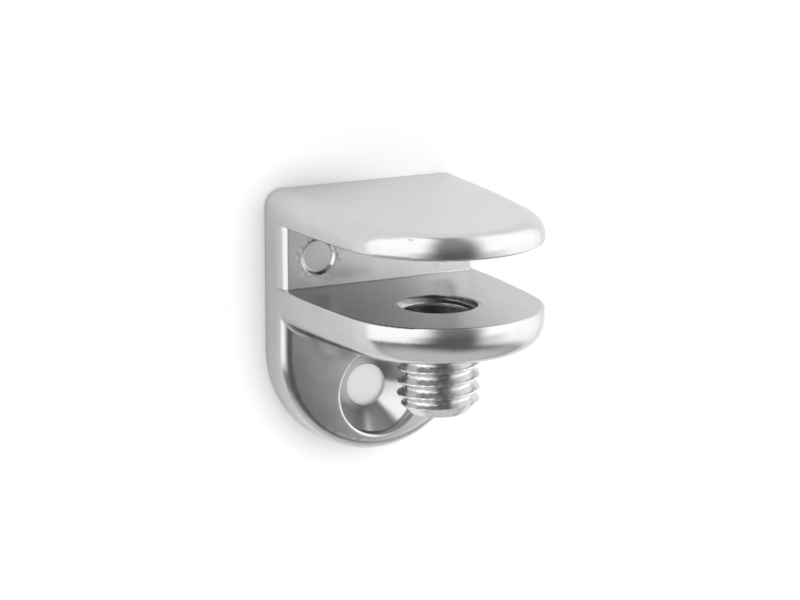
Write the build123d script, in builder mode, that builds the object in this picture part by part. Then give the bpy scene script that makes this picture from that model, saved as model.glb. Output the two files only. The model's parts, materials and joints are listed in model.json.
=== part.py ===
"""Glass shelf support: a cast wall clamp with a screw that comes up through its lower jaw.

Frame: X runs along the wall, the wall's face is Y = 0 and the jaws reach out along -Y, Z is up.
The origin is the centre of the wall-screw hole, in the plane of the wall. Sizes are in millimetres.
"""

import os
from math import asin, cos, radians, sin, tan

from build123d import *

os.makedirs("parts", exist_ok=True)

# Bracket body: outline seen from above and from the front
body_width = 21.4
bore_reach = 15.7
nose_radius = 10.05
lobe_rise = 4.75
plate_thickness = 3.7
straight_reach = 4.8

# Bracket body: jaws, with the slot cut a little deeper than the rounding of its back edges
slot_floor_rise = 11.35
glass_gap = 6.3
upper_jaw_root = 3.0
lower_jaw_root = 4.5
jaw_slope = 1.7
top_edge_round = 1.8
bottom_edge_round = 2.8
slot_edge_round = 2.7
slot_recess = 0.9
slot_rim_round = 0.25
lobe_corner_round = 0.4
lobe_edge_round = 1.2

# Wall-screw hole: a plain hole, a cone and a short straight mouth
wall_hole_radius = 2.1
sink_radius = 4.3
sink_angle = 90
sink_mouth_depth = 1.05
sink_lip_round = 0.35

# Round pin marks in the back of the slot
pin_mark_radius = 1.85
pin_mark_spacing = 13.4
pin_mark_rise = 3.0
pin_mark_depth = 0.8

# Clamp screw: M8 coarse thread, right-hand
screw_major_radius = 3.95
thread_pitch = 1.25
thread_depth = 0.7
crest_width = 0.2
flank_angle = 30
screw_length = 8.0
screw_end_chamfer = 1.2
hex_across_flats = 4.0
hex_depth = 3.5
bore_clearance = 0.05

# Tip pad: a disc on a stem, held in the screw's upper end
pad_radius = 2.7
pad_thickness = 0.6
pad_edge_round = 0.2
stem_radius = 1.3
stem_length = 1.7
stem_clearance = 0.05
stem_end_gap = 0.2
pad_rest_depth = 1.75

# Heights that follow from the sizes above
slot_roof_rise = slot_floor_rise + glass_gap
body_top = slot_roof_rise + upper_jaw_root
lower_jaw_bottom = slot_floor_rise - lower_jaw_root
pad_top = slot_floor_rise - pad_rest_depth
screw_top = pad_top - pad_thickness
screw_bottom = screw_top - screw_length
bore_radius = screw_major_radius + bore_clearance
body_reach = bore_reach + nose_radius
jaw_reach = bore_reach - straight_reach
side_radius = (body_width**2 / 4 + jaw_reach**2 - nose_radius**2) / (body_width - 2 * nose_radius)
side_turn = asin(jaw_reach / (side_radius - nose_radius))
nose_start = (-nose_radius * cos(side_turn), -bore_reach - nose_radius * sin(side_turn))
root_radius = screw_major_radius - thread_depth
ridge_half_base = crest_width / 2 + thread_depth * tan(radians(flank_angle))
ridge_sink = 0.2
end_face_radius = screw_major_radius - screw_end_chamfer
trim_width = 2 * screw_end_chamfer


def sloped(height, angle, setback=0):
    """A plane across the body that passes through a height above the wall and tips down outwards."""
    return Plane(
        origin=(0, -setback, height),
        x_dir=(1, 0, 0),
        z_dir=(0, -sin(radians(angle)), cos(radians(angle))),
    )


def facing_out(reach, height=0, across=0):
    """A plane parallel to the wall that faces away from it, with X across and Y up."""
    return Plane(origin=(across, -reach, height), x_dir=(1, 0, 0), z_dir=(0, -1, 0))


def outer_edges(face):
    """The edges of a jaw's outer face, without the one against the wall."""
    return face.edges().sort_by(Axis.Y)[:-1]


# The outline of the body seen from above: straight across the plate, then slow curves to a round nose
with BuildSketch() as tongue_outline:
    with BuildLine():
        plate_side = Line((-body_width / 2, 0), (-body_width / 2, -straight_reach))
        jaw_side = TangentArc(plate_side @ 1, nose_start, tangent=plate_side % 1)
        TangentArc(jaw_side @ 1, (0, -body_reach), tangent=jaw_side % 1)
        mirror(about=Plane.YZ)
        Line((-body_width / 2, 0), (body_width / 2, 0))
    make_face()

# The two jaws and the upper part of the plate, one tongue-shaped block with a slot through it
with BuildPart() as jaw_block:
    with BuildSketch(Plane.XY.offset(lower_jaw_bottom - lower_jaw_root)):
        add(tongue_outline.sketch)
    extrude(amount=body_top - lower_jaw_bottom + lower_jaw_root)
    split(bisect_by=sloped(body_top, jaw_slope), keep=Keep.BOTTOM)
    split(bisect_by=sloped(lower_jaw_bottom, -jaw_slope, plate_thickness), keep=Keep.TOP)
    fillet(outer_edges(jaw_block.faces().sort_by(Axis.Z)[-1]), top_edge_round)
    fillet(outer_edges(jaw_block.faces().sort_by(Axis.Z)[0]), bottom_edge_round)
    with BuildSketch(facing_out(plate_thickness + slot_recess, slot_floor_rise)):
        Rectangle(2 * body_width, glass_gap, align=(Align.CENTER, Align.MIN))
    extrude(amount=body_reach, mode=Mode.SUBTRACT)
    slot_back = jaw_block.faces().filter_by(Axis.Y).sort_by(Axis.Y)[0]
    fillet(slot_back.edges().filter_by(Axis.Z), slot_edge_round)
    with BuildSketch(facing_out(plate_thickness, slot_floor_rise)):
        Rectangle(2 * body_width, glass_gap, align=(Align.CENTER, Align.MIN))
    extrude(amount=body_reach, mode=Mode.SUBTRACT)
    slot_rims = jaw_block.faces().filter_by(Axis.Z).edges().filter_by(
        lambda edge: edge.geom_type == GeomType.CIRCLE and edge.radius > nose_radius - slot_rim_round
    )
    fillet(slot_rims, slot_rim_round)

# The lower part of the plate, which ends in a round lobe
with BuildPart() as lobe_plate:
    with BuildSketch(Plane.XZ):
        with BuildLine():
            Line((0, slot_floor_rise), (body_width / 2, slot_floor_rise))
            Line((body_width / 2, slot_floor_rise), (body_width / 2, lobe_rise))
            CenterArc((0, lobe_rise), body_width / 2, 0, -90)
            mirror(about=Plane.YZ)
        make_face()
    extrude(amount=plate_thickness)
    lobe_face = lobe_plate.faces().filter_by(Axis.Y).sort_by(Axis.Y)[0]
    fillet(lobe_face.edges().sort_by(Axis.Z)[:-1], lobe_edge_round)

# The casting: both blocks in one, with its holes and marks
with BuildPart() as bracket_body:
    add(jaw_block.part)
    add(lobe_plate.part)
    under_corner = bracket_body.edges().sort_by_distance((0, -plate_thickness, lower_jaw_bottom))[0]
    fillet(under_corner, lobe_corner_round)
    with Locations(facing_out(plate_thickness - sink_mouth_depth)):
        CounterSinkHole(wall_hole_radius, sink_radius, counter_sink_angle=sink_angle)
    with Locations(facing_out(plate_thickness)):
        Hole(sink_radius, depth=sink_mouth_depth)
    sink_rim = bracket_body.edges().filter_by(GeomType.CIRCLE).filter_by(
        lambda edge: abs(edge.radius - sink_radius) < 1e-3
    )
    fillet(sink_rim.sort_by(Axis.Y)[0], sink_lip_round)
    with Locations((0, -bore_reach, slot_floor_rise)):
        Cylinder(
            bore_radius,
            2 * lower_jaw_root,
            align=(Align.CENTER, Align.CENTER, Align.MAX),
            mode=Mode.SUBTRACT,
        )
    with Locations(facing_out(plate_thickness, slot_floor_rise + pin_mark_rise)):
        with GridLocations(pin_mark_spacing, 0, 2, 1):
            Hole(pin_mark_radius, depth=pin_mark_depth)
bracket_body.part.label = "bracket_body"

# The clamp screw: a core and a helical ridge, trimmed by the chamfered outline of the whole screw
with BuildPart() as clamp_screw:
    with Locations((0, -bore_reach, screw_bottom)):
        Cylinder(root_radius, screw_length, align=(Align.CENTER, Align.CENTER, Align.MIN))
    with BuildLine():
        Helix(
            thread_pitch,
            screw_length + 2 * thread_pitch,
            root_radius,
            center=(0, -bore_reach, screw_bottom - thread_pitch),
        )
    with BuildSketch(facing_out(bore_reach, screw_bottom - thread_pitch, root_radius)):
        with BuildLine():
            Polyline(
                (-ridge_sink, -ridge_half_base),
                (0, -ridge_half_base),
                (thread_depth, -crest_width / 2),
                (thread_depth, crest_width / 2),
                (0, ridge_half_base),
                (-ridge_sink, ridge_half_base),
                close=True,
            )
        make_face()
    sweep(is_frenet=True)
    with BuildSketch(facing_out(bore_reach, screw_bottom)):
        with BuildLine():
            Polyline(
                (0, 0),
                (end_face_radius, 0),
                (end_face_radius + trim_width, trim_width),
                (end_face_radius + trim_width, screw_length - trim_width),
                (end_face_radius, screw_length),
                (0, screw_length),
                close=True,
            )
        make_face()
    revolve(axis=Axis((0, -bore_reach, 0), (0, 0, 1)), mode=Mode.INTERSECT)
    with BuildSketch(Plane.XY.offset(screw_bottom)):
        with Locations((0, -bore_reach)):
            RegularPolygon(hex_across_flats / 2, 6, major_radius=False)
    extrude(amount=hex_depth, mode=Mode.SUBTRACT)
    with Locations((0, -bore_reach, screw_top)):
        Hole(stem_radius + stem_clearance, depth=stem_length + stem_end_gap)
clamp_screw.part.label = "clamp_screw"

# The tip pad: a disc that lies on the screw's upper end, with a stem in its blind hole
with BuildPart() as tip_pad:
    with Locations((0, -bore_reach, screw_top)):
        Cylinder(pad_radius, pad_thickness, align=(Align.CENTER, Align.CENTER, Align.MIN))
    fillet(tip_pad.faces().sort_by(Axis.Z)[-1].edges(), pad_edge_round)
    with Locations((0, -bore_reach, screw_top)):
        Cylinder(stem_radius, stem_length, align=(Align.CENTER, Align.CENTER, Align.MAX))
tip_pad.part.label = "tip_pad"

export_step(bracket_body.part, "parts/bracket_body.step")
export_step(clamp_screw.part, "parts/clamp_screw.step")
export_step(tip_pad.part, "parts/tip_pad.step")
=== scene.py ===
"""Looks for a glass shelf support: a satin chrome casting, a plated clamp screw and a tip pad.

Everything is in metres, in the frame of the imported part: X along the wall, -Y out of it, Z up.
"""

import json
from math import atan2, cos, pi, radians, sin

import bmesh
import bpy
from mathutils import Matrix, Vector


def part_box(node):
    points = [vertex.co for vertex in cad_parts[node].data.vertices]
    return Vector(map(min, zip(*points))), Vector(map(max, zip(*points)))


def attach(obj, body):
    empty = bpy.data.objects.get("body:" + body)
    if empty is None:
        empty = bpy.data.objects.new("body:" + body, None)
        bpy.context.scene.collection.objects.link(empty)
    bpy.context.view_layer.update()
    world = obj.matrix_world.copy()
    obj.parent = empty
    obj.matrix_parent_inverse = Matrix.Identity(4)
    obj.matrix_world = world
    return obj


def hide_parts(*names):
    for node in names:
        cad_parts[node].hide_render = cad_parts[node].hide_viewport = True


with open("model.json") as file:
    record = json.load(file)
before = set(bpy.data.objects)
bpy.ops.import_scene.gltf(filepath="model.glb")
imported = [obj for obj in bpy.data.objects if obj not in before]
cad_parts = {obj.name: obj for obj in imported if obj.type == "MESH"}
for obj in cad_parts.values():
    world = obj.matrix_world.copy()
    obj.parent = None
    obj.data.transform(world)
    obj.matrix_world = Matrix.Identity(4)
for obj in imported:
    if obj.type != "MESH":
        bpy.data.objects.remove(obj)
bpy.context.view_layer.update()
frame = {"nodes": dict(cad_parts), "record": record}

bl_info = {
    "name": "Glass Shelf Support",
    "version": (1, 0, 0),
    "blender": (4, 5, 0),
    "location": "3D View > Sidebar > Shelf Support",
    "description": "Dresses a glass shelf support with its finishes, threads and studio",
    "category": "Object",
}

MM = 0.001
SCREW_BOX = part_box("clamp_screw")
MOUNTS = {mount["name"]: mount for mount in frame["record"]["mounts"]}

# Places on the casting
BORE_Y = MOUNTS["glass_seat"]["pos_m"][1]
SLOT_FLOOR = MOUNTS["slot_floor"]["pos_m"][2]
PLATE = 3.7 * MM
RIM_ROUND = 0.25 * MM
SINK_RADIUS = 4.25 * MM
SINK_SLOPE = pi / 4
NICK_PLACE = (-6.54 * MM, -22.55 * MM, 19.53 * MM)
NICK_RADIUS = 0.26 * MM

# Round pin marks in the slot's back
MARK_X = 6.7 * MM
MARK_RISE = 3.0 * MM
MARK_REACH = 2.0 * MM
MARK_CAD_DEPTH = 0.8 * MM
MARK_DEPTH = 0.3 * MM
MARK_TAPER = 0.84

# Inside of the clamp screw: the blind hole for the pad's stem, and the hex socket's two ends
STEM_HOLE_RADIUS = 1.35 * MM
STEM_HOLE_DEPTH = 1.9 * MM
SOCKET_LEAD_WIDTH = 0.12 * MM
SOCKET_LEAD_DEPTH = 0.25 * MM
SOCKET_TIP_SHARE = 0.6
SOCKET_TIP_DEPTH = 0.8 * MM

# The threaded lining of the lower jaw's bore
LINING_DROP = 0.003 * MM
LINING_DEPTH = 4.1 * MM
LINING_THICKNESS = 0.052 * MM
LINING_MOUTH_RADIUS = 3.8 * MM

# Fineness of the threads, and the angles and area that shading goes by
COLUMNS = 144
RING_STEP = 0.05 * MM
SHARP_ANGLE = radians(34)
THREAD_SHARP_ANGLE = radians(38)
FLAT_ANGLE = radians(0.5)
FLAT_AREA = 0.8 * MM * MM

WHITE = (1, 1, 1, 1)
FLOAT = "NodeSocketFloat"
VECTOR = "NodeSocketVector"
GEOMETRY = "NodeSocketGeometry"
SHARED = {}
MATERIALS = {}


def length(name, description, default):
    """A length in metres that the user can set."""
    return bpy.props.FloatProperty(
        name=name, description=description, default=default, unit="LENGTH", precision=6
    )


def number(name, description, default):
    """A plain number that the user can set."""
    return bpy.props.FloatProperty(name=name, description=description, default=default)


def angle(name, description, default):
    """An angle that the user can set, given here in degrees."""
    return bpy.props.FloatProperty(
        name=name, description=description, default=radians(default), subtype="ANGLE"
    )


def colour(name, description, default):
    """A colour that the user can set."""
    return bpy.props.FloatVectorProperty(
        name=name, description=description, default=default, subtype="COLOR", size=3, min=0, max=1
    )


class ThreadSizes(bpy.types.PropertyGroup):
    """Sizes of the M8 coarse thread on the screw and in the lower jaw."""

    major_radius: length("Major radius", "Radius over the screw's crests", 3.95 * MM)
    pitch: length("Pitch", "Distance from one crest to the next", 1.25 * MM)
    depth: length("Depth", "Depth of the screw's thread", 0.7 * MM)
    crest: length("Crest", "Width of the flat on a crest", 0.16 * MM)
    flank: angle("Flank angle", "Angle of a flank to the screw's cross-section", 30)
    softness: length("Softness", "Rounding of crests and roots", 0.04 * MM)
    end_radius: length("End radius", "Radius of the flat on each end of the screw", 2.75 * MM)
    crest_height: length("Crest height", "A height at which a crest crosses the +X side", 1.0 * MM)
    clearance: length("Clearance", "Gap between the screw's thread and the jaw's", 0.04 * MM)
    hex_flats: length("Hex socket", "Distance across the flats of the socket", 4.0 * MM)
    hex_depth: length("Socket depth", "Depth of the socket", 3.5 * MM)


class FinishSettings(bpy.types.PropertyGroup):
    """Colours and surface of the finishes."""

    chrome: colour("Chrome", "Colour of the plated casting", (0.63, 0.635, 0.64))
    chrome_roughness: number("Chrome roughness", "Blur of the casting's reflections", 0.19)
    slot_turn: angle("Slot turn", "How far the slot's back turns to the right", -1.8)
    slot_crown: number("Slot crown", "Radians that the slot's back turns a metre across", 4.6)
    slot_lean: angle("Slot lean", "How far the slot's back leans up", 4.5)
    lobe_turn: angle("Lobe turn", "How far the lobe's face turns to the right", -3.0)
    lobe_crown: number("Lobe crown", "Radians that the lobe's face turns a metre across", 10.5)
    lobe_twist: number("Lobe twist", "Radians that the lobe's face turns a metre up", 6.0)
    nose_crown: angle("Nose crown", "How far the lower jaw's nose leans back at its upper edge", 27)
    # slot_shade is a painted shade: it darkens the colour of the slot's floor between the jaws
    slot_shade: number("Slot shade", "How much thinner plating darkens the slot's floor", 0.9)
    slot_roughness: number("Slot roughness", "Blur of the reflections in the slot's floor", 0.29)
    sink_roughness: number("Sink roughness", "Blur of the countersink's reflections", 0.25)
    sink_twist: angle("Sink twist", "How far the countersink's lower half turns to the sides", 17)
    plated: colour("Plated steel", "Colour of the clamp screw", (0.72, 0.73, 0.73))
    plated_roughness: number("Plated roughness", "Blur of the screw's reflections", 0.21)
    pad: colour("Pad", "Colour of the tip pad", (0.82, 0.82, 0.8))


class StudioSettings(bpy.types.PropertyGroup):
    """The camera, the wall, and what the metal reflects."""

    azimuth: angle("Azimuth", "How far the camera stands to the left of straight ahead", 27.6)
    elevation: angle("Elevation", "How far the camera looks down", 13.05)
    distance: length("Distance", "From the camera to the wall-screw hole, along its view", 300 * MM)
    across: length("Across", "How far the camera is moved to its right", 3.64 * MM)
    raised: length("Raised", "How far the camera is moved up", 8.33 * MM)
    lens: number("Lens", "Focal length of the camera in millimetres", 135)
    wall_gap: length("Wall gap", "Air between the plate's back and the wall", 0.2 * MM)
    wall_width: length("Wall width", "Width of the white wall board", 120 * MM)
    wall_top: length("Wall top", "Height of the board's top edge", 130 * MM)
    wall_bottom: length("Wall bottom", "Height of the board's bottom edge", -32 * MM)
    wall_lift: number("Wall lift", "How much whiter than lit the board is seen", 0.365)
    mirror_lift: number("Mirror lift", "How much whiter than lit the metal mirrors the board", 0.29)
    # side_shade paints a shadow on the board left of the part, which only the metal's reflections
    # see
    side_shade: number("Side shade", "How much less of that is left beside the part", 0.14)
    contact_reach: length("Contact reach", "Reach of the contact shadow on the board", 3.5 * MM)
    contact_shade: number("Contact shade", "Depth of the contact shadow left of the part", 0.5)
    room_level: number("Room level", "Light that falls on the board from all round", 0.86)
    window_level: number("Window level", "Brightness of the soft windows at both sides", 1.5)
    window_rise: number("Window rise", "How much brighter the windows are higher up", 0.06)
    gap_level: number("Gap level", "Brightness of the dark gap ahead, at eye height", 0.13)
    gap_top_level: number("Gap top level", "Brightness of the dark gap overhead", 0.36)
    ground_level: number("Ground level", "Brightness of the ground straight below", 0.72)


def new_object(name, mesh):
    """An object at the origin that holds a mesh."""
    made = bpy.data.objects.new(name, mesh)
    bpy.context.scene.collection.objects.link(made)
    return made


class Nodes:
    """Adds nodes to a tree and joins them, from left to right."""

    def __init__(self, tree):
        self.tree = tree
        self.count = 0

    def add(self, kind, *inputs, **settings):
        """A node of a kind, with its first inputs given as values or as other sockets."""
        node = self.tree.nodes.new(kind)
        self.count += 1
        node.location = (180 * (self.count % 12), -220 * (self.count // 12))
        for name, value in settings.items():
            setattr(node, name, value)
        for socket, value in zip(node.inputs, inputs):
            self.feed(socket, value)
        return node

    def feed(self, socket, value):
        """Gives a socket a value, or a link from another socket."""
        if value is None:
            return
        if isinstance(value, bpy.types.NodeSocket):
            self.tree.links.new(value, socket)
        else:
            socket.default_value = value

    def math(self, operation, *inputs, clamp=False):
        """The result of one Math node."""
        return self.add("ShaderNodeMath", *inputs, operation=operation, use_clamp=clamp).outputs[0]

    def near(self, value, target, reach):
        """1 where a value is within reach of a target, and 0 elsewhere."""
        return self.add("ShaderNodeMath", value, target, reach, operation="COMPARE").outputs[0]

    def mapped(self, value, low, high, to_low=0.0, to_high=1.0, smooth=True):
        """A value mapped from one range to another, held at its ends."""
        kind = "SMOOTHSTEP" if smooth else "LINEAR"
        node = self.add("ShaderNodeMapRange", interpolation_type=kind, clamp=True)
        for name, given in (
            ("Value", value),
            ("From Min", low),
            ("From Max", high),
            ("To Min", to_low),
            ("To Max", to_high),
        ):
            self.feed(node.inputs[name], given)
        return node.outputs[0]

    def noise(self, vector, scale, detail=2):
        """Soft noise between 0 and 1, at a place in metres."""
        node = self.add("ShaderNodeTexNoise")
        self.feed(node.inputs["Vector"], vector)
        self.feed(node.inputs["Scale"], scale)
        node.inputs["Detail"].default_value = detail
        return node.outputs["Fac"]

    def mixed_level(self, factor, first, second):
        """A number between two numbers."""
        node = self.add("ShaderNodeMix", data_type="FLOAT")
        for name, given in (("Factor", factor), ("A", first), ("B", second)):
            self.feed(node.inputs[name], given)
        return node.outputs["Result"]

    def mixed_colour(self, factor, first, second, blend="MIX"):
        """A colour between two colours, or one that blends them in another way."""
        node = self.add("ShaderNodeMix", data_type="RGBA", blend_type=blend)
        for name, given in (("Factor", factor), ("A", first), ("B", second)):
            self.feed(node.inputs[name], given)
        return next(socket for socket in node.outputs if socket.type == "RGBA")

    def group(self, tree, **inputs):
        """The outputs of a placed node group that is given its named inputs."""
        node = self.add("ShaderNodeGroup", node_tree=tree)
        for name, value in inputs.items():
            self.feed(node.inputs[name.replace("_", " ")], value)
        return node.outputs


def open_tree(name, kind, inputs, outputs):
    """A node group with named sockets, given as (name, socket type, default)."""
    tree = bpy.data.node_groups.new(name, kind)
    for direction, sockets in (("INPUT", inputs), ("OUTPUT", outputs)):
        for label, socket_type, default in sockets:
            socket = tree.interface.new_socket(label, in_out=direction, socket_type=socket_type)
            if default is not None:
                socket.default_value = default
    nodes = Nodes(tree)
    return nodes, nodes.add("NodeGroupInput").outputs, nodes.add("NodeGroupOutput").inputs


def cast_grain_group():
    """The skin of a polished and plated casting: fine pearl grain, slow unevenness and blotches."""
    nodes, given, out = open_tree(
        "Cast grain",
        "ShaderNodeTree",
        [
            ("Vector", VECTOR, None),
            ("Grain size", FLOAT, 0.1 * MM),
            ("Wave size", FLOAT, 4 * MM),
        ],
        [("Grain", FLOAT, None), ("Waves", FLOAT, None), ("Blotches", FLOAT, None)],
    )
    grains = nodes.math("DIVIDE", 1.0, given["Grain size"])
    waves = nodes.math("DIVIDE", 1.0, given["Wave size"])
    blotches = nodes.math("DIVIDE", 3.0, given["Wave size"])
    nodes.feed(out["Grain"], nodes.noise(given["Vector"], grains))
    nodes.feed(out["Waves"], nodes.noise(given["Vector"], waves, detail=1))
    blotch = nodes.noise(given["Vector"], blotches, detail=4)
    nodes.feed(out["Blotches"], nodes.mapped(blotch, 0.35, 0.7))
    return nodes.tree


def edge_wear_group():
    """A mask that is 1 along the outer edges of a piece and breaks up into worn patches."""
    nodes, given, out = open_tree(
        "Edge wear",
        "ShaderNodeTree",
        [("Vector", VECTOR, None), ("Width", FLOAT, 0.25 * MM), ("Patch size", FLOAT, 0.8 * MM)],
        [("Edge", FLOAT, None), ("Normal", VECTOR, None)],
    )
    bevel = nodes.add("ShaderNodeBevel", samples=4)
    nodes.feed(bevel.inputs["Radius"], given["Width"])
    flat = nodes.add("ShaderNodeNewGeometry").outputs["Normal"]
    across = nodes.add("ShaderNodeVectorMath", bevel.outputs[0], flat, operation="DOT_PRODUCT")
    edge = nodes.mapped(across.outputs["Value"], 0.995, 0.85)
    patches = nodes.noise(given["Vector"], nodes.math("DIVIDE", 1.0, given["Patch size"]))
    worn = nodes.mapped(patches, 0.35, 0.6, 0.4, 1.0)
    nodes.feed(out["Edge"], nodes.math("MULTIPLY", edge, worn))
    nodes.feed(out["Normal"], bevel.outputs[0])
    return nodes.tree


def pits_group():
    """Rough specks in a patchy ring round each pin mark, alike on both sides of the casting."""
    nodes, given, out = open_tree(
        "Pits",
        "ShaderNodeTree",
        [
            ("Vector", VECTOR, None),
            ("Across", FLOAT, MARK_X),
            ("Height", FLOAT, SLOT_FLOOR + MARK_RISE),
            ("Front", FLOAT, -PLATE),
            ("Inner radius", FLOAT, 1.8 * MM),
            ("Outer radius", FLOAT, 2.8 * MM),
            ("Speck size", FLOAT, 0.13 * MM),
        ],
        [("Pits", FLOAT, None)],
    )
    split = nodes.add("ShaderNodeSeparateXYZ", given["Vector"]).outputs
    across = nodes.math("SUBTRACT", nodes.math("ABSOLUTE", split["X"]), given["Across"])
    up = nodes.math("SUBTRACT", split["Z"], given["Height"])
    spoke = nodes.add("ShaderNodeCombineXYZ", across, 0.0, up).outputs[0]
    radius = nodes.add("ShaderNodeVectorMath", spoke, operation="LENGTH").outputs["Value"]
    ring = nodes.mapped(radius, given["Outer radius"], given["Inner radius"])
    hollow = nodes.math("GREATER_THAN", radius, given["Inner radius"])
    specks = nodes.noise(given["Vector"], nodes.math("DIVIDE", 1.0, given["Speck size"]))
    patches = nodes.noise(given["Vector"], nodes.math("DIVIDE", 0.12, given["Speck size"]))
    patchy = nodes.mapped(patches, 0.48, 0.58)
    depth = nodes.math("MULTIPLY", nodes.mapped(specks, 0.45, 0.6), patchy)
    depth = nodes.math("MULTIPLY", nodes.math("MULTIPLY", depth, ring), hollow)
    at_back = nodes.near(split["Y"], given["Front"], 0.05 * MM)
    nodes.feed(out["Pits"], nodes.math("MULTIPLY", depth, at_back))
    return nodes.tree


def open_material(name):
    """A material with its nodes cleared, ready for a Principled shader."""
    material = bpy.data.materials.new(name)
    material.use_nodes = True
    material.node_tree.nodes.clear()
    nodes = Nodes(material.node_tree)
    shader = nodes.add("ShaderNodeBsdfPrincipled")
    output = nodes.add("ShaderNodeOutputMaterial")
    nodes.feed(output.inputs["Surface"], shader.outputs[0])
    place = nodes.add("ShaderNodeTexCoord").outputs["Object"]
    return material, nodes, shader, place


def tinted(rgb, share):
    """A colour made lighter or darker by a share."""
    return (*(min(1.0, channel * share) for channel in rgb), 1.0)


def varied(nodes, mask, middle, low_share, high_share):
    """A roughness that varies with a mask, between two shares of its middle value."""
    return nodes.mapped(mask, 0.0, 1.0, middle * low_share, middle * high_share, smooth=False)


def feed_bump(nodes, shader, height, strength, distance, normal=None):
    """Gives a shader a bump of a height, over a distance in metres."""
    bump = nodes.add("ShaderNodeBump")
    bump.inputs["Strength"].default_value = strength
    bump.inputs["Distance"].default_value = distance
    nodes.feed(bump.inputs["Height"], height)
    nodes.feed(bump.inputs["Normal"], normal)
    nodes.feed(shader.inputs["Normal"], bump.outputs[0])


def slot_floor_mask(nodes, place):
    """1 on the slot's floor, which gets a painted shade in its colour and duller reflections, and 0
    elsewhere.
    """
    rise = nodes.add("ShaderNodeSeparateXYZ", place).outputs["Z"]
    facing = nodes.add("ShaderNodeNewGeometry").outputs["Normal"]
    lying = nodes.mapped(nodes.add("ShaderNodeSeparateXYZ", facing).outputs["Z"], 0.9, 0.99)
    return nodes.math("MULTIPLY", nodes.near(rise, SLOT_FLOOR, 0.1 * MM), lying)


def sink_mask(nodes, place):
    """1 in the countersink and the wall-screw hole, and 0 elsewhere."""
    upright = nodes.add("ShaderNodeVectorMath", place, (1.0, 0.0, 1.0), operation="MULTIPLY")
    from_axis = nodes.add("ShaderNodeVectorMath", upright.outputs[0], operation="LENGTH")
    return nodes.math("LESS_THAN", from_axis.outputs["Value"], SINK_RADIUS)


def casting_relief(nodes, place, grain):
    """The height of the casting's skin: grain, slow waves, pits round the marks and one nick."""
    relief = nodes.math("MULTIPLY_ADD", grain["Grain"], 0.02, grain["Waves"])
    pits = nodes.group(SHARED["pits"], Vector=place)
    relief = nodes.math("MULTIPLY_ADD", pits["Pits"], -1.2, relief)
    from_nick = nodes.add("ShaderNodeVectorMath", place, NICK_PLACE, operation="DISTANCE")
    nick = nodes.mapped(from_nick.outputs["Value"], NICK_RADIUS, 0.04 * MM)
    return nodes.math("MULTIPLY_ADD", nick, -1.8, relief)


def chrome_material():
    """Satin chrome on a polished zinc casting."""
    finish = bpy.context.scene.support_finish
    material, nodes, shader, place = open_material("satin_chrome")
    grain = nodes.group(SHARED["grain"], Vector=place, Grain_size=0.09 * MM, Wave_size=5 * MM)
    wear = nodes.group(SHARED["wear"], Vector=place, Width=0.22 * MM)
    light, dark = tinted(finish.chrome, 1.02), tinted(finish.chrome, 0.97)
    base = nodes.mixed_colour(grain["Blotches"], dark, light)
    coated = nodes.mixed_colour(wear["Edge"], base, tinted(finish.chrome, 1.12))
    in_slot = slot_floor_mask(nodes, place)
    # Painted shade: the slot's floor between the jaws is given a darker colour
    painted_floor_shade = nodes.mixed_colour(in_slot, WHITE, (finish.slot_shade,) * 3 + (1,))
    nodes.feed(shader.inputs["Base Color"], nodes.mixed_colour(1.0, coated, painted_floor_shade, "MULTIPLY"))
    shader.inputs["Metallic"].default_value = 1.0
    rough = varied(nodes, grain["Blotches"], finish.chrome_roughness, 0.88, 1.1)
    rough = nodes.mixed_level(in_slot, rough, finish.slot_roughness)
    rough = nodes.mixed_level(sink_mask(nodes, place), rough, finish.sink_roughness)
    nodes.feed(shader.inputs["Roughness"], rough)
    relief = casting_relief(nodes, place, grain)
    feed_bump(nodes, shader, relief, 0.5, 0.04 * MM, wear["Normal"])
    return material


def plated_material():
    """Bright zinc plate on a turned steel screw."""
    finish = bpy.context.scene.support_finish
    material, nodes, shader, place = open_material("plated_steel")
    grain = nodes.group(SHARED["grain"], Vector=place, Grain_size=0.12 * MM, Wave_size=1.6 * MM)
    wear = nodes.group(SHARED["wear"], Vector=place, Width=0.06 * MM, Patch_size=0.5 * MM)
    light, dark = tinted(finish.plated, 1.05), tinted(finish.plated, 0.93)
    base = nodes.mixed_colour(grain["Blotches"], dark, light)
    worn = nodes.mixed_colour(wear["Edge"], base, tinted(finish.plated, 1.15))
    nodes.feed(shader.inputs["Base Color"], worn)
    shader.inputs["Metallic"].default_value = 1.0
    rough = varied(nodes, grain["Blotches"], finish.plated_roughness, 0.8, 1.3)
    nodes.feed(shader.inputs["Roughness"], rough)
    feed_bump(nodes, shader, grain["Waves"], 0.6, 0.02 * MM)
    return material


def pad_material():
    """Natural moulded nylon, a little cloudy."""
    finish = bpy.context.scene.support_finish
    material, nodes, shader, place = open_material("pad_plastic")
    grain = nodes.group(SHARED["grain"], Vector=place, Grain_size=0.2 * MM, Wave_size=2 * MM)
    light, dark = tinted(finish.pad, 1.03), tinted(finish.pad, 0.93)
    nodes.feed(shader.inputs["Base Color"], nodes.mixed_colour(grain["Blotches"], dark, light))
    rough = nodes.mapped(grain["Waves"], 0.3, 0.7, 0.4, 0.55, smooth=False)
    nodes.feed(shader.inputs["Roughness"], rough)
    shader.inputs["Subsurface Weight"].default_value = 0.15
    shader.inputs["Subsurface Radius"].default_value = (0.8 * MM, 0.7 * MM, 0.6 * MM)
    feed_bump(nodes, shader, grain["Grain"], 0.4, 0.02 * MM)
    return material


def prepare_finishes():
    """Builds the shared node groups and the materials once."""
    if MATERIALS:
        return
    SHARED["grain"] = cast_grain_group()
    SHARED["wear"] = edge_wear_group()
    SHARED["pits"] = pits_group()
    SHARED["thread"] = thread_tree()
    MATERIALS["satin_chrome"] = chrome_material()
    MATERIALS["plated_steel"] = plated_material()
    MATERIALS["pad_plastic"] = pad_material()


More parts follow.
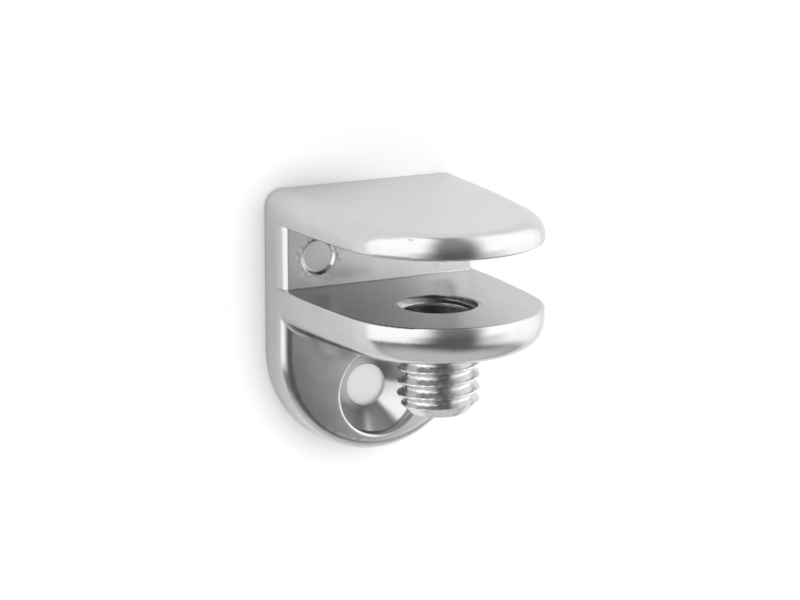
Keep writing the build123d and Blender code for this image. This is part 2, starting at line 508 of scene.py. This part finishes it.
def finish_piece(piece, body, slot, *nodes_replaced):
    """Gives a finished piece the material of a slot and its body, and hides the nodes that it
    stands for.
    """
    piece.data.materials.clear()
    piece.data.materials.append(MATERIALS[slot])
    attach(piece, body)
    if nodes_replaced:
        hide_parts(*nodes_replaced)


def merged_copy(node_name):
    """A copy of a node's mesh as a bmesh, with its loose triangles joined."""
    shape = bmesh.new()
    shape.from_mesh(frame["nodes"][node_name].data)
    bmesh.ops.remove_doubles(shape, verts=shape.verts, dist=1e-7)
    shape.normal_update()
    return shape


def flat_regions(shape):
    """The number of the flat region that each face lies in, and the area of each region."""
    region_of = {}
    areas = []
    for start in shape.faces:
        if start.index in region_of:
            continue
        region = len(areas)
        region_of[start.index] = region
        pending = [start]
        area = 0.0
        while pending:
            face = pending.pop()
            area += face.calc_area()
            for edge in face.edges:
                for other in edge.link_faces:
                    if other.index in region_of:
                        continue
                    if start.normal.angle(other.normal, pi) < FLAT_ANGLE:
                        region_of[other.index] = region
                        pending.append(other)
        areas.append(area)
    return region_of, areas


def crowned_front(place):
    """The normal of the plate's front or the slot's back, which polishing has crowned a little."""
    finish = bpy.context.scene.support_finish
    if place.z > SLOT_FLOOR - 0.1 * MM:
        turn = finish.slot_turn + finish.slot_crown * place.x
        lean = finish.slot_lean
    else:
        turn = finish.lobe_turn + finish.lobe_crown * place.x + finish.lobe_twist * place.z
        lean = 0.0
    return Vector((sin(turn), -cos(turn), sin(lean))).normalized()


def twisted_sink(place):
    """The normal of the countersink's lower half, turned to the sides as the tool has left it."""
    side = 1 if place.x > 0 else -1
    down = atan2(-place.z, abs(place.x))
    down -= bpy.context.scene.support_finish.sink_twist * sin(2 * down)
    across = cos(SINK_SLOPE)
    return Vector((-side * across * cos(down), -across, across * sin(down)))


def crowned_nose(normal):
    """The normal at the upper edge of the lower jaw's side, leant back most at the nose."""
    lean = bpy.context.scene.support_finish.nose_crown * min(1.0, 1.4 * normal.y * normal.y)
    return Vector((normal.x * cos(lean), normal.y * cos(lean), sin(lean))).normalized()


def crowned(normal, place):
    """A normal of the casting at a place, turned where polishing has crowned the surface."""
    from_front = place.y + PLATE
    if normal.y < -0.99 and -0.02 * MM < from_front < MARK_DEPTH + 0.02 * MM:
        return crowned_front(place)
    in_lower_sink = place.z < 0 and place.xz.length < SINK_RADIUS + 0.1 * MM
    if in_lower_sink and abs(normal.y + cos(SINK_SLOPE)) < 0.05:
        return twisted_sink(place)
    from_rim = place.z - (SLOT_FLOOR - RIM_ROUND)
    if normal.y < 0 and abs(normal.z) < 0.05 and abs(from_rim) < 0.02 * MM:
        return crowned_nose(normal)
    return normal


def set_soft_normals(mesh, adjusted=None):
    """Smooth shading in which a corner beside a large flat region takes that region's normal."""
    shape = bmesh.new()
    shape.from_mesh(mesh)
    shape.faces.ensure_lookup_table()
    region_of, areas = flat_regions(shape)
    normals = {}
    for vert in shape.verts:
        for loop in vert.link_loops:
            own = loop.face.normal
            total = Vector((0, 0, 0))
            flattest, largest = None, FLAT_AREA
            for other in vert.link_faces:
                if own.angle(other.normal, 0) > SHARP_ANGLE:
                    continue
                total += other.normal * other.calc_area()
                area = areas[region_of[other.index]]
                if area > largest:
                    flattest, largest = other.normal, area
            chosen = (flattest or total).normalized()
            normals[loop.index] = adjusted(chosen, vert.co) if adjusted else chosen
    ordered = [normals[index][:] for index in range(len(normals))]
    shape.free()
    for polygon in mesh.polygons:
        polygon.use_smooth = True
    mesh.normals_split_custom_set(ordered)


def set_sharp_shading(mesh):
    """Faces turned outwards, and smooth shading with the thread's sharp edges kept."""
    shape = bmesh.new()
    shape.from_mesh(mesh)
    bmesh.ops.recalc_face_normals(shape, faces=shape.faces)
    shape.to_mesh(mesh)
    shape.free()
    mesh.shade_smooth()
    mesh.set_sharp_from_angle(angle=THREAD_SHARP_ANGLE)


def soften_pin_marks(shape):
    """Gives the round pin marks in the slot's back a low bottom and a slanting wall."""
    for vert in shape.verts:
        place = vert.co.copy()
        middle = Vector((MARK_X if place.x > 0 else -MARK_X, place.y, SLOT_FLOOR + MARK_RISE))
        on_bottom = abs(place.y + PLATE - MARK_CAD_DEPTH) < 0.1 * MM
        if on_bottom and (place - middle).length < MARK_REACH:
            vert.co = middle + (place - middle) * MARK_TAPER
            vert.co.y = -PLATE + MARK_DEPTH


def mesh_of(shape, name):
    """A mesh made from a bmesh, which is then freed."""
    mesh = bpy.data.meshes.new(name)
    shape.to_mesh(mesh)
    shape.free()
    return mesh


def ring_points(radius, height, is_hex=False):
    """The points of one ring about the bore's axis. A hex ring's radius is half its width."""
    points = []
    for column in range(COLUMNS):
        turn = 2 * pi * column / COLUMNS
        reach = radius / cos((turn + pi / 6) % (pi / 3) - pi / 6) if is_hex else radius
        points.append((reach * cos(turn), BORE_Y + reach * sin(turn), height))
    return points


def ring_faces(low, high):
    """The faces between two rings, given by the numbers of their first points."""
    turns = [(column, (column + 1) % COLUMNS) for column in range(COLUMNS)]
    return [(low + here, high + here, high + after, low + after) for here, after in turns]


def blank_mesh(name, points, faces, marks):
    """A mesh whose points are marked 1 where the thread is to be cut, and 0 elsewhere."""
    mesh = bpy.data.meshes.new(name)
    mesh.from_pydata(points, [], faces)
    mesh.attributes.new("thread", "FLOAT", "POINT").data.foreach_set("value", marks)
    return mesh


def screw_blank(name, rings, wall_rings, hex_rings):
    """A closed blank of rings (radius, height), the first and last of them points on the axis."""
    points = [(0, BORE_Y, rings[0][1])]
    marks = [0.0]
    for index, (radius, height) in enumerate(rings[1:-1], start=1):
        points += ring_points(radius, height, index in hex_rings)
        marks += [float(index in wall_rings)] * COLUMNS
    last = len(points)
    points.append((0, BORE_Y, rings[-1][1]))
    marks.append(0.0)
    faces = []
    for column in range(COLUMNS):
        after = (column + 1) % COLUMNS
        faces.append((0, 1 + column, 1 + after))
        faces.append((last - COLUMNS + column, last, last - COLUMNS + after))
    for ring in range(len(rings) - 3):
        faces += ring_faces(1 + ring * COLUMNS, 1 + (ring + 1) * COLUMNS)
    return blank_mesh(name, points, faces, marks)


def lining_blank(name, rings):
    """A closed tube of rings (radius, height), of which the first and last are its outer wall."""
    points = []
    marks = []
    faces = []
    for index, (radius, height) in enumerate(rings):
        points += ring_points(radius, height)
        marks += [float(0 < index < len(rings) - 1)] * COLUMNS
        faces += ring_faces(index * COLUMNS, (index + 1) % len(rings) * COLUMNS)
    return blank_mesh(name, points, faces, marks)


def thread_tree():
    """Geometry Nodes that turn the marked wall of a turned blank into a helical thread."""
    nodes, given, out = open_tree(
        "Helical thread",
        "GeometryNodeTree",
        [
            ("Geometry", GEOMETRY, None),
            ("Axis Y", FLOAT, 0.0),
            ("Major radius", FLOAT, 4 * MM),
            ("Pitch", FLOAT, 1.25 * MM),
            ("Depth", FLOAT, 0.7 * MM),
            ("Crest width", FLOAT, 0.16 * MM),
            ("Flank angle", FLOAT, radians(30)),
            ("Softness", FLOAT, 0.04 * MM),
            ("Crest height", FLOAT, 0.0),
            ("Offset", FLOAT, 0.0),
            ("Bottom", FLOAT, 0.0),
            ("Top", FLOAT, 0.0),
            ("End radius", FLOAT, 2.75 * MM),
            ("Inside", FLOAT, 0.0),
            ("Material", "NodeSocketMaterial", None),
        ],
        [("Geometry", GEOMETRY, None)],
    )
    place = nodes.add("GeometryNodeInputPosition").outputs[0]
    split = nodes.add("ShaderNodeSeparateXYZ", place).outputs
    across = nodes.math("SUBTRACT", split["Y"], given["Axis Y"])
    turn = nodes.math("DIVIDE", nodes.math("ARCTAN2", across, split["X"]), 2 * pi)
    rise = nodes.math("SUBTRACT", split["Z"], given["Crest height"])
    rise = nodes.math("DIVIDE", rise, given["Pitch"])
    from_crest = nodes.math("PINGPONG", nodes.math("SUBTRACT", rise, turn), 0.5)
    from_crest = nodes.math("MULTIPLY", from_crest, given["Pitch"])
    past_crest = nodes.math("SUBTRACT", from_crest, nodes.math("DIVIDE", given["Crest width"], 2.0))
    down = nodes.math("DIVIDE", past_crest, nodes.math("TANGENT", given["Flank angle"]))
    capped = nodes.math("SMOOTH_MAX", down, 0.0, given["Softness"])
    capped = nodes.math("SMOOTH_MIN", capped, given["Depth"], given["Softness"])
    radius = nodes.math("SUBTRACT", given["Major radius"], capped)
    radius = nodes.math("ADD", radius, given["Offset"])
    above = nodes.math("SUBTRACT", split["Z"], given["Bottom"])
    below = nodes.math("SUBTRACT", given["Top"], split["Z"])
    low_cone = nodes.math("ADD", given["End radius"], above)
    high_cone = nodes.math("ADD", given["End radius"], below)
    outside = nodes.math("MINIMUM", radius, nodes.math("MINIMUM", low_cone, high_cone))
    low_mouth = nodes.math("SUBTRACT", given["End radius"], above)
    high_mouth = nodes.math("SUBTRACT", given["End radius"], below)
    inside = nodes.math("MAXIMUM", radius, nodes.math("MAXIMUM", low_mouth, high_mouth))
    outside = nodes.math("MULTIPLY", outside, nodes.math("SUBTRACT", 1.0, given["Inside"]))
    inside = nodes.math("MULTIPLY", inside, given["Inside"])
    chosen = nodes.math("ADD", outside, inside)
    spoke = nodes.add("ShaderNodeCombineXYZ", split["X"], across, 0.0).outputs[0]
    spoke = nodes.add("ShaderNodeVectorMath", spoke, operation="NORMALIZE").outputs[0]
    spoke = nodes.add("ShaderNodeVectorMath", spoke, operation="SCALE")
    nodes.feed(spoke.inputs["Scale"], chosen)
    centre = nodes.add("ShaderNodeCombineXYZ", 0.0, given["Axis Y"], split["Z"]).outputs[0]
    target = nodes.add("ShaderNodeVectorMath", spoke.outputs[0], centre, operation="ADD").outputs[0]
    marked = nodes.add("GeometryNodeInputNamedAttribute", data_type="FLOAT")
    marked.inputs["Name"].default_value = "thread"
    wall = nodes.add("FunctionNodeCompare", data_type="FLOAT", operation="GREATER_THAN")
    nodes.feed(wall.inputs["A"], marked.outputs["Attribute"])
    wall.inputs["B"].default_value = 0.5
    moved = nodes.add("GeometryNodeSetPosition")
    nodes.feed(moved.inputs["Geometry"], given["Geometry"])
    nodes.feed(moved.inputs["Selection"], wall.outputs["Result"])
    nodes.feed(moved.inputs["Position"], target)
    real = nodes.add("GeometryNodeRealizeInstances", moved.outputs[0]).outputs[0]
    coated = nodes.add("GeometryNodeSetMaterial")
    nodes.feed(coated.inputs["Geometry"], real)
    nodes.feed(coated.inputs["Material"], given["Material"])
    nodes.feed(out["Geometry"], coated.outputs[0])
    return nodes.tree


def baked(name, blank, tree, **inputs):
    """A plain object made from a blank mesh by a Geometry Nodes tree with its named inputs."""
    worker = new_object(name + "_blank", blank)
    modifier = worker.modifiers.new("build", "NODES")
    modifier.node_group = tree
    for item in tree.interface.items_tree:
        key = item.name.replace(" ", "_").lower()
        if item.item_type == "SOCKET" and item.in_out == "INPUT" and key in inputs:
            modifier[item.identifier] = inputs[key]
    depsgraph = bpy.context.evaluated_depsgraph_get()
    mesh = bpy.data.meshes.new_from_object(worker.evaluated_get(depsgraph))
    bpy.data.objects.remove(worker)
    mesh.name = name
    mesh.attributes.remove(mesh.attributes["thread"])
    return new_object(name, mesh)


def threaded(name, blank, slot, **inputs):
    """A baked piece with the M8 thread cut in the marked wall of its blank."""
    sizes = bpy.context.scene.support_thread
    piece = baked(
        name,
        blank,
        SHARED["thread"],
        axis_y=BORE_Y,
        major_radius=sizes.major_radius,
        pitch=sizes.pitch,
        depth=sizes.depth,
        crest_width=sizes.crest,
        flank_angle=sizes.flank,
        softness=sizes.softness,
        crest_height=sizes.crest_height,
        material=MATERIALS[slot],
        **inputs,
    )
    set_sharp_shading(piece.data)
    return piece


def spaced(start, stop, step):
    """Heights from start to stop, about a step apart, both ends included."""
    count = max(1, round(abs(stop - start) / step))
    return [start + (stop - start) * i / count for i in range(count + 1)]


class SHELFSUPPORT_OT_casting(bpy.types.Operator):
    """Dresses the casting in satin chrome"""

    bl_idname = "shelfsupport.casting"
    bl_label = "Casting"

    def execute(self, context):
        prepare_finishes()
        shape = merged_copy("bracket_body")
        soften_pin_marks(shape)
        mesh = mesh_of(shape, "casting")
        set_soft_normals(mesh, crowned)
        finish_piece(new_object("casting", mesh), "bracket", "satin_chrome", "bracket_body")
        return {"FINISHED"}


class SHELFSUPPORT_OT_clamp_screw(bpy.types.Operator):
    """Makes the clamp screw with its thread, chamfers and hex socket"""

    bl_idname = "shelfsupport.clamp_screw"
    bl_label = "Clamp Screw"

    def execute(self, context):
        prepare_finishes()
        sizes = context.scene.support_thread
        bottom, top = SCREW_BOX[0].z, SCREW_BOX[1].z
        hole_end = top - STEM_HOLE_DEPTH
        stem_hole = [(0, hole_end), (STEM_HOLE_RADIUS, hole_end), (STEM_HOLE_RADIUS, top)]
        wall = [(sizes.end_radius, height) for height in spaced(top, bottom, RING_STEP)]
        flat = sizes.hex_flats / 2
        socket_end = bottom + sizes.hex_depth
        mouth = [(flat / cos(pi / 6) + SOCKET_LEAD_WIDTH, bottom)]
        hexes = [(flat, bottom + SOCKET_LEAD_DEPTH), (flat, socket_end)]
        tip = [(SOCKET_TIP_SHARE * flat, socket_end), (0, socket_end + SOCKET_TIP_DEPTH)]
        first_wall = len(stem_hole)
        first_hex = first_wall + len(wall) + len(mouth)
        blank = screw_blank(
            "clamp_screw_blank",
            stem_hole + wall + mouth + hexes + tip,
            wall_rings=range(first_wall, first_wall + len(wall)),
            hex_rings=range(first_hex, first_hex + len(hexes)),
        )
        piece = threaded(
            "clamp_screw_turned",
            blank,
            "plated_steel",
            bottom=bottom,
            top=top,
            end_radius=sizes.end_radius,
        )
        finish_piece(piece, "screw", "plated_steel", "clamp_screw")
        return {"FINISHED"}


class SHELFSUPPORT_OT_bore_thread(bpy.types.Operator):
    """Cuts the thread in the lower jaw's bore"""

    bl_idname = "shelfsupport.bore_thread"
    bl_label = "Bore Thread"

    def execute(self, context):
        prepare_finishes()
        sizes = context.scene.support_thread
        bottom, top = SLOT_FLOOR - LINING_DEPTH, SLOT_FLOOR - LINING_DROP
        shell = sizes.major_radius + LINING_THICKNESS
        wall = [(LINING_MOUTH_RADIUS, height) for height in spaced(bottom, top, RING_STEP)]
        piece = threaded(
            "bore_thread",
            lining_blank("bore_thread_blank", [(shell, bottom), *wall, (shell, top)]),
            "satin_chrome",
            offset=sizes.clearance,
            bottom=bottom,
            top=top,
            end_radius=LINING_MOUTH_RADIUS,
            inside=1.0,
        )
        finish_piece(piece, "bracket", "satin_chrome")
        return {"FINISHED"}


class SHELFSUPPORT_OT_tip_pad(bpy.types.Operator):
    """Gives the tip pad its cloudy nylon"""

    bl_idname = "shelfsupport.tip_pad"
    bl_label = "Tip Pad"

    def execute(self, context):
        prepare_finishes()
        mesh = mesh_of(merged_copy("tip_pad"), "tip_pad_moulded")
        set_soft_normals(mesh)
        finish_piece(new_object("tip_pad_moulded", mesh), "pad", "pad_plastic", "tip_pad")
        return {"FINISHED"}


def camera_axes(studio):
    """The camera's forward, right and up directions."""
    turn, dip = studio.azimuth, studio.elevation
    forward = Vector((sin(turn) * cos(dip), cos(turn) * cos(dip), -sin(dip)))
    right = Vector((cos(turn), -sin(turn), 0))
    return forward, right, right.cross(forward)


def add_camera(studio):
    """The camera at the photograph's view."""
    forward, right, up = camera_axes(studio)
    data = bpy.data.cameras.new("camera")
    data.lens = studio.lens
    data.sensor_width = 36
    data.clip_start = 0.01
    data.clip_end = 10
    camera = bpy.data.objects.new("camera", data)
    place = right * studio.across + up * studio.raised - forward * studio.distance
    turn = Matrix((right, up, -forward)).transposed().to_4x4()
    camera.matrix_world = Matrix.Translation(place) @ turn
    bpy.context.scene.collection.objects.link(camera)
    bpy.context.scene.camera = camera


def stage_material(studio):
    """A white board that is seen a little whiter than it is lit, and isn't there from behind."""
    material = bpy.data.materials.new("white_board")
    material.use_nodes = True
    material.node_tree.nodes.clear()
    nodes = Nodes(material.node_tree)
    place = nodes.add("ShaderNodeTexCoord").outputs["Object"]
    split = nodes.add("ShaderNodeSeparateXYZ", place).outputs
    across, rise = split["X"], split["Z"]

    # The contact shadow, which the photograph shows on the left of the part alone
    closed = nodes.add("ShaderNodeAmbientOcclusion", samples=8)
    closed.inputs["Distance"].default_value = studio.contact_reach
    shade = nodes.math("SUBTRACT", 1.0, closed.outputs["AO"])
    share = nodes.mapped(across, 6 * MM, -6 * MM, 0.0, studio.contact_shade)
    open_share = nodes.math("SUBTRACT", 1.0, nodes.math("MULTIPLY", shade, share), clamp=True)

    # How much whiter than lit the board is seen, and how much whiter the metal reflects it
    path = nodes.add("ShaderNodeLightPath").outputs
    seen = nodes.math("MAXIMUM", path["Is Camera Ray"], path["Is Transmission Ray"])
    seen = nodes.math("MULTIPLY", seen, studio.wall_lift)
    # A painted shadow on the board left of the part, seen only in the metal's reflections
    near_side = nodes.mapped(across, -9 * MM, -14 * MM)
    far_side = nodes.mapped(across, -34 * MM, -18 * MM)
    beside = nodes.math("MULTIPLY", near_side, far_side)
    beside = nodes.math("MULTIPLY", beside, nodes.mapped(rise, 22 * MM, 14 * MM))
    mirrored = nodes.math("MULTIPLY_ADD", beside, -studio.side_shade, studio.mirror_lift)
    mirrored = nodes.math("MULTIPLY", mirrored, path["Is Glossy Ray"])
    lift = nodes.math("MULTIPLY", nodes.math("ADD", seen, mirrored), open_share)

    paper = nodes.mixed_colour(open_share, (0, 0, 0, 1), (0.86, 0.86, 0.86, 1))
    board = nodes.add("ShaderNodeBsdfDiffuse", paper).outputs[0]
    glow = nodes.add("ShaderNodeEmission", WHITE, lift)
    lit = nodes.add("ShaderNodeAddShader", board, glow.outputs[0]).outputs[0]
    clear = nodes.add("ShaderNodeBsdfTransparent").outputs[0]
    behind = nodes.add("ShaderNodeNewGeometry").outputs["Backfacing"]
    mixed = nodes.add("ShaderNodeMixShader", behind, lit, clear).outputs[0]
    output = nodes.add("ShaderNodeOutputMaterial")
    nodes.feed(output.inputs["Surface"], mixed)
    return material


def add_backdrop(studio):
    """A white board on the wall behind the plate."""
    half = studio.wall_width / 2
    wall = studio.wall_gap
    low, high = studio.wall_bottom, studio.wall_top
    points = [(-half, wall, low), (half, wall, low), (half, wall, high), (-half, wall, high)]
    mesh = bpy.data.meshes.new("backdrop")
    mesh.from_pydata(points, [], [(0, 1, 2, 3)])
    mesh.materials.append(stage_material(studio))
    new_object("backdrop", mesh)


def window_share(nodes, heading, side, rise):
    """How much of a window is seen in a direction, between 0 and 1, with all angles in degrees."""
    left_end = nodes.mapped(rise, -12.0, 14.0, -72.0, -50.0)
    left = nodes.mapped(heading, -24.0, left_end)
    left = nodes.math("MULTIPLY", left, nodes.mapped(rise, -29.0, -17.0))
    near_right = nodes.math("MULTIPLY", nodes.mapped(side, 5.0, 29.0), 0.62)
    high_right = nodes.mapped(side, 12.0, 27.0)
    high_right = nodes.math("MULTIPLY", high_right, nodes.mapped(rise, -10.0, 10.0))
    far_right = nodes.math("MAXIMUM", nodes.mapped(side, 27.0, 60.0), high_right)
    right = nodes.math("ADD", near_right, nodes.math("MULTIPLY", far_right, 0.38))
    right = nodes.math("MULTIPLY", right, nodes.mapped(rise, -45.0, -30.0))
    return nodes.math("ADD", left, right, clamp=True)


def light_world(studio):
    """A soft room with a window at each side, a dark gap ahead and a grey ground."""
    world = bpy.data.worlds.new("studio")
    world.use_nodes = True
    world.node_tree.nodes.clear()
    nodes = Nodes(world.node_tree)
    way = nodes.add("ShaderNodeTexCoord").outputs["Generated"]
    split = nodes.add("ShaderNodeSeparateXYZ", way).outputs
    side = nodes.math("DEGREES", nodes.math("ARCSINE", split["X"]))
    rise = nodes.math("DEGREES", nodes.math("ARCSINE", split["Z"]))
    ahead = nodes.math("MULTIPLY", split["Y"], -1.0)
    heading = nodes.math("DEGREES", nodes.math("ARCTAN2", split["X"], ahead))

    # Brightness of the windows, the gap between them and the ground
    high_level = studio.window_level * (1 + studio.window_rise)
    window = nodes.mapped(rise, -12.0, 25.0, studio.window_level, high_level)
    window = nodes.math("MULTIPLY", window, nodes.mapped(heading, 88.0, 112.0, 1.0, 0.86))
    gap = nodes.mapped(rise, -20.0, 80.0, studio.gap_level, studio.gap_top_level)
    level = nodes.mixed_level(window_share(nodes, heading, side, rise), gap, window)
    slanted = nodes.math("MULTIPLY_ADD", nodes.math("ABSOLUTE", side), -0.4, rise)
    ground = nodes.mapped(slanted, -45.0, -74.0)
    level = nodes.mixed_level(ground, level, studio.ground_level)

    # Only reflections see all that: the board gets an even light, and the camera a white ground
    path = nodes.add("ShaderNodeLightPath").outputs
    level = nodes.mixed_level(path["Is Glossy Ray"], studio.room_level, level)
    level = nodes.mixed_level(path["Is Camera Ray"], level, 1.0)
    back = nodes.add("ShaderNodeBackground", WHITE, level)
    output = nodes.add("ShaderNodeOutputWorld")
    nodes.feed(output.inputs["Surface"], back.outputs[0])
    bpy.context.scene.world = world


class SHELFSUPPORT_OT_stage(bpy.types.Operator):
    """Makes the camera, the white backdrop and the soft light"""

    bl_idname = "shelfsupport.stage"
    bl_label = "Studio"

    def execute(self, context):
        studio = context.scene.support_studio
        add_camera(studio)
        add_backdrop(studio)
        light_world(studio)
        context.scene.view_settings.view_transform = "Standard"
        return {"FINISHED"}


class SHELFSUPPORT_PT_pieces(bpy.types.Panel):
    """Lists the pieces of the shelf support and its studio"""

    bl_label = "Shelf Support"
    bl_idname = "SHELFSUPPORT_PT_pieces"
    bl_space_type = "VIEW_3D"
    bl_region_type = "UI"
    bl_category = "Shelf Support"

    def draw(self, context):
        column = self.layout.column()
        for operator in OPERATORS:
            column.operator(operator.bl_idname)


SETTINGS = {
    "support_thread": ThreadSizes,
    "support_finish": FinishSettings,
    "support_studio": StudioSettings,
}
OPERATORS = (
    SHELFSUPPORT_OT_stage,
    SHELFSUPPORT_OT_casting,
    SHELFSUPPORT_OT_bore_thread,
    SHELFSUPPORT_OT_clamp_screw,
    SHELFSUPPORT_OT_tip_pad,
)
CLASSES = (*SETTINGS.values(), *OPERATORS, SHELFSUPPORT_PT_pieces)


def register():
    for item in CLASSES:
        bpy.utils.register_class(item)
    for name, group_class in SETTINGS.items():
        setattr(bpy.types.Scene, name, bpy.props.PointerProperty(type=group_class))


def unregister():
    for name in SETTINGS:
        delattr(bpy.types.Scene, name)
    for item in reversed(CLASSES):
        bpy.utils.unregister_class(item)


def main():
    """Builds every piece in order."""
    register()
    bpy.ops.shelfsupport.stage()
    bpy.ops.shelfsupport.casting()
    bpy.ops.shelfsupport.bore_thread()
    bpy.ops.shelfsupport.clamp_screw()
    bpy.ops.shelfsupport.tip_pad()
    bpy.context.view_layer.update()


if __name__ == "__main__":
    main()
